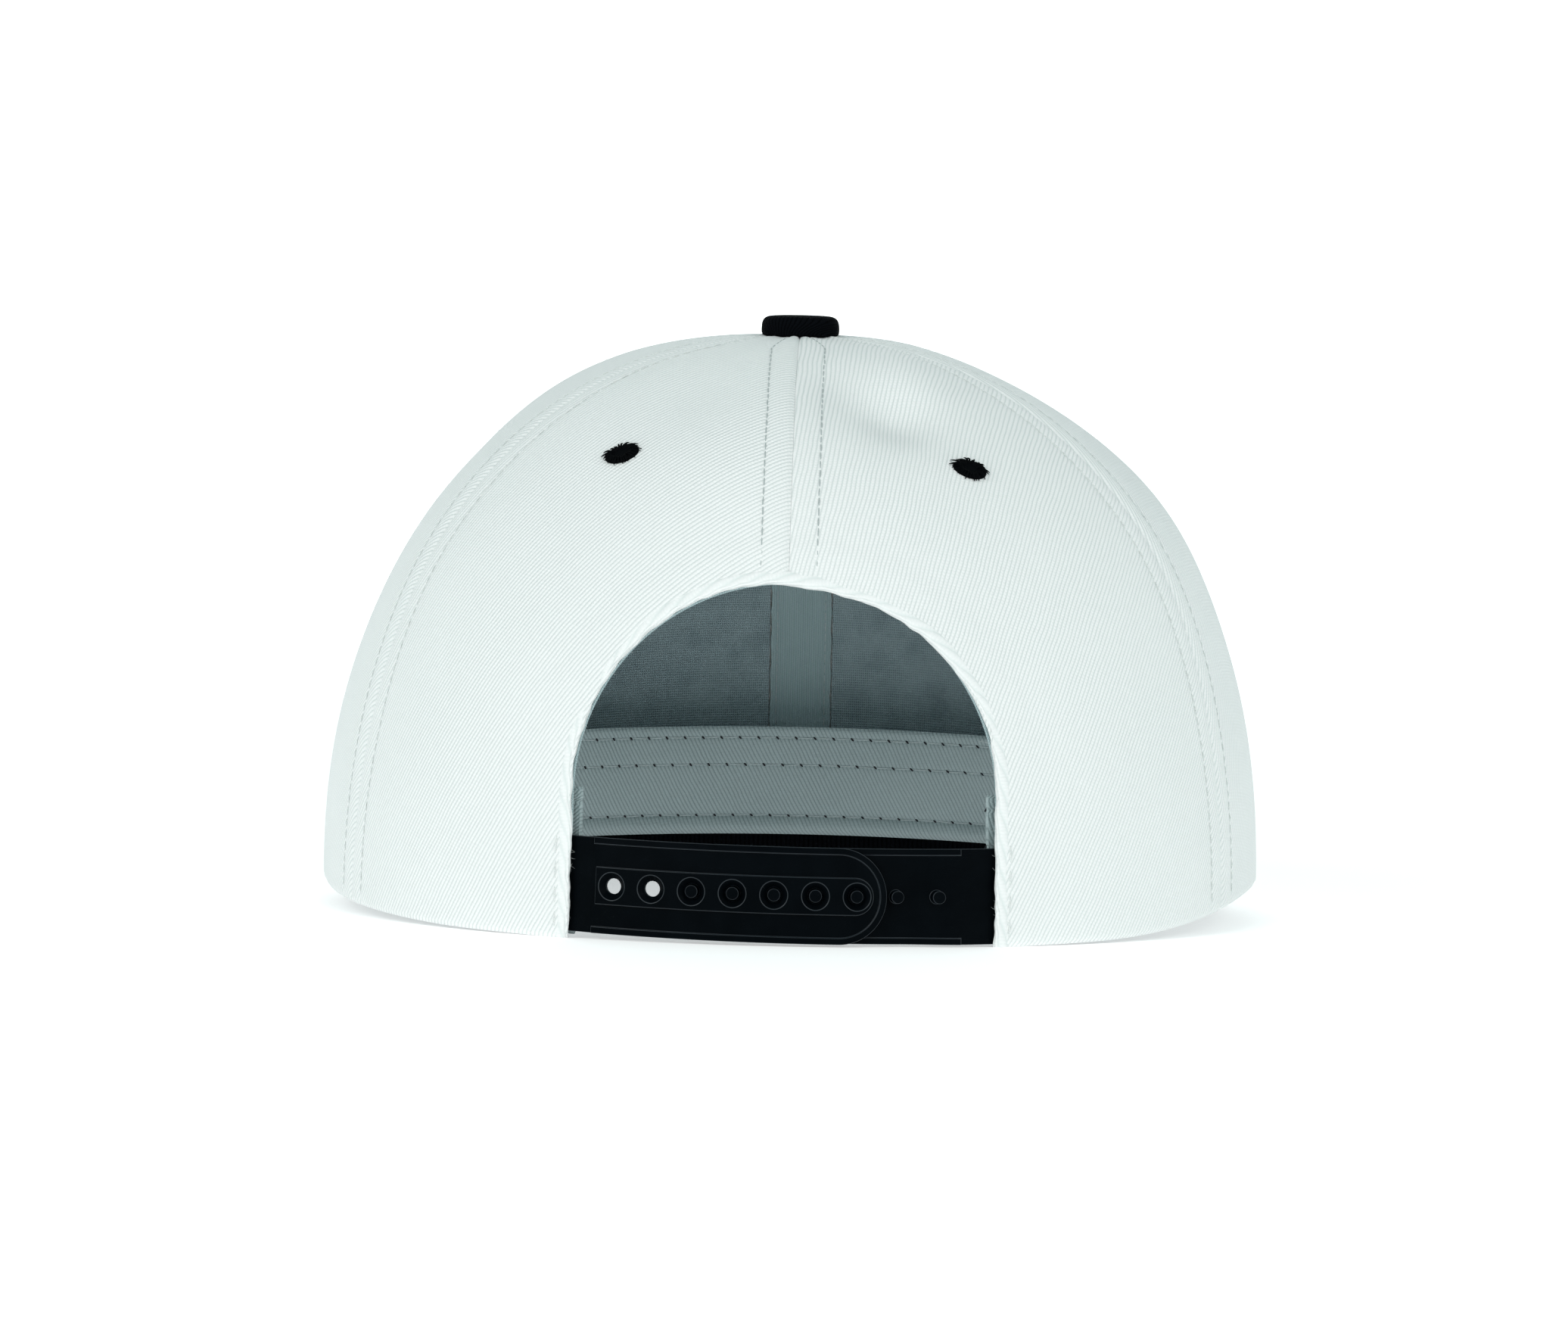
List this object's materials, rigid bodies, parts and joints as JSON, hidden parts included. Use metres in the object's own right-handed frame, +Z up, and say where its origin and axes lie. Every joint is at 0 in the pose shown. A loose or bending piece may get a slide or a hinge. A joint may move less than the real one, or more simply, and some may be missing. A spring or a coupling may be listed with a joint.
{
  "type": "snapback cap",
  "caption": "White panelled twill cap with a black peak, covered button, embroidered eyelets and an adjustable snap strap under an arched back opening.",
  "frame": {"origin": "centre of the bounding box on the surface the cap stands on", "axes": "+Y to the front, out along the peak, +Z up, +X to the right of someone who looks at the cap's back"},
  "size_m": [0.1958, 0.2522, 0.1252],
  "materials": {
    "crown": "white cotton twill",
    "peak": "black cotton twill",
    "button": "black cotton twill",
    "eyelet": "black embroidery thread",
    "strap": "moulded matte plastic",
    "sweatband": "white cotton twill",
    "tape": "white seam tape",
    "buckram": "open mesh stiffener"
  },
  "bodies": {
    "root": {"panel_back_left": "crown", "panel_back_right": "crown", "panel_side_left": "crown", "panel_side_right": "crown", "panel_front_left": "crown", "panel_front_right": "crown", "peak": "peak", "sweatband": "sweatband", "tape_back": "tape", "tape_front": "tape", "tape_back_left": "tape", "tape_back_right": "tape", "tape_front_left": "tape", "tape_front_right": "tape", "buckram_left": "buckram", "buckram_right": "buckram", "opening_facing": "tape", "button": "button", "eyelet_back_left": "eyelet", "eyelet_back_right": "eyelet", "eyelet_side_left": "eyelet", "eyelet_side_right": "eyelet", "eyelet_front_left": "eyelet", "eyelet_front_right": "eyelet", "strap_left": "strap", "strap_right": "strap"}
  },
  "joints": []
}
